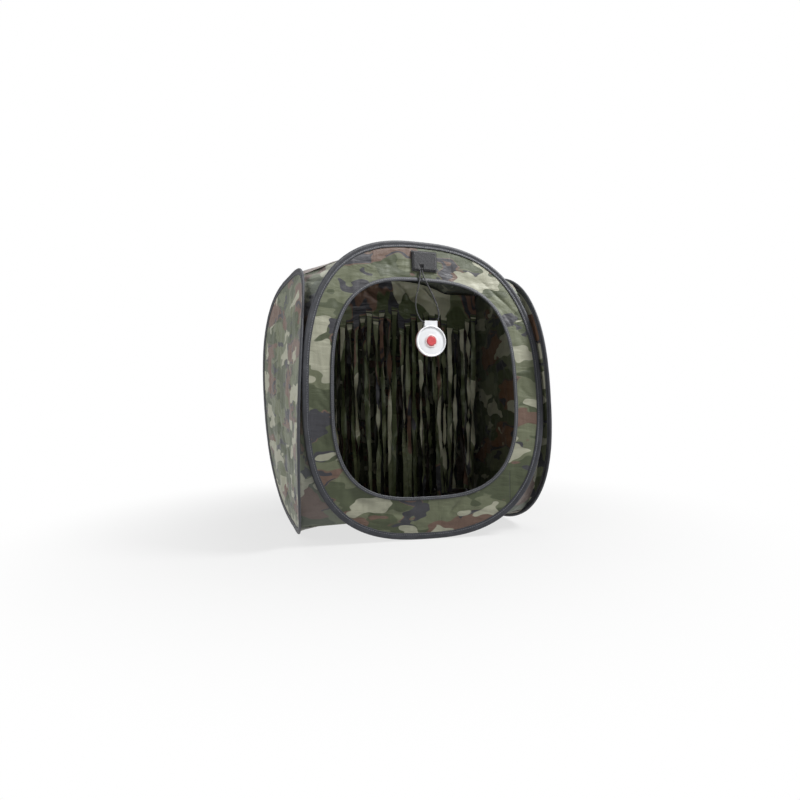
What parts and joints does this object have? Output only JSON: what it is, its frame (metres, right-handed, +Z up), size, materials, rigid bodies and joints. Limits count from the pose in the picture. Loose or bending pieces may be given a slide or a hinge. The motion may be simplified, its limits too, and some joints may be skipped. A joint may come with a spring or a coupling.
{
  "type": "pop-up target tent",
  "caption": "Pop-up camouflage fabric box on sprung hoops, open at the front, with a slit curtain inside and a small round target on a cord.",
  "frame": {"origin": "on the ground, under the middle of the tent", "axes": "+Z up, the opening faces -Y, +X is to the right seen from the front"},
  "size_m": [0.3872, 0.3557, 0.4],
  "materials": {
    "camo_cloth": "woven polyester, woodland camouflage",
    "lining_cloth": "woven polyester, woodland camouflage, inside",
    "binding_tape": "woven tape, dark slate grey",
    "spring_steel": "flat spring wire",
    "crimp": "crimped sleeve",
    "hook_loop": "black hook-and-loop tape",
    "cord": "thin black cord",
    "target_white": "white moulded plastic",
    "target_red": "red plastic",
    "target_pink": "pale red plastic"
  },
  "bodies": {
    "front": {"front_hoop_wire": "spring_steel", "front_hoop_ferrule": "crimp", "front_binding": "binding_tape", "front_panel": "camo_cloth", "opening_binding": "binding_tape", "roof_panel": "camo_cloth", "floor_panel": "camo_cloth", "front_left_gusset": "camo_cloth", "front_right_gusset": "camo_cloth", "back_left_gusset": "camo_cloth", "back_right_gusset": "camo_cloth", "front_curtain": "lining_cloth", "rear_curtain": "lining_cloth", "patch_base": "hook_loop", "patch_cover": "hook_loop"},
    "left": {"left_hoop_wire": "spring_steel", "left_hoop_ferrule": "crimp", "left_binding": "binding_tape", "left_panel": "camo_cloth"},
    "right": {"right_hoop_wire": "spring_steel", "right_hoop_ferrule": "crimp", "right_binding": "binding_tape", "right_panel": "camo_cloth"},
    "back": {"back_hoop_wire": "spring_steel", "back_hoop_ferrule": "crimp", "back_binding": "binding_tape", "back_panel": "camo_cloth"},
    "cord": {"target_cord": "cord"},
    "target": {"target_disc": "target_white", "target_ring": "target_white", "target_button": "target_red", "target_back_plate": "target_pink", "target_tab": "target_white"}
  },
  "joints": [
    {"name": "left_fold", "type": "hinge", "parent": "front", "child": "left", "pos_m": [-0.1683, -0.1582, 0.189], "axis": [0, 0, 1], "range_deg": [-52, 0], "stiffness_Nm_per_rad": 0.15, "deforming": ["roof_panel", "floor_panel", "front_left_gusset", "front_right_gusset", "back_left_gusset", "back_right_gusset", "front_curtain", "rear_curtain"]},
    {"name": "right_fold", "type": "hinge", "parent": "front", "child": "right", "pos_m": [0.1715, -0.1785, 0.189], "axis": [0, 0, 1], "range_deg": [-56, 0]},
    {"name": "back_fold", "type": "hinge", "parent": "left", "child": "back", "pos_m": [-0.191, 0.178, 0.189], "axis": [0, 0, 1], "range_deg": [0, 48]},
    {"name": "target_swing", "type": "hinge", "parent": "front", "child": "cord", "pos_m": [0.0086, -0.1495, 0.351], "axis": [1, 0, 0], "range_deg": [-60, 35], "deforming": ["target_cord"]},
    {"name": "target_rock", "type": "hinge", "parent": "cord", "child": "target", "pos_m": [0.0086, -0.1498, 0.2893], "axis": [1, 0, 0], "range_deg": [-25, 25]}
  ],
  "couplings": [
    {"joint": "right_fold", "follows": "left_fold", "ratio": 1.05},
    {"joint": "back_fold", "follows": "left_fold", "ratio": -0.878}
  ]
}
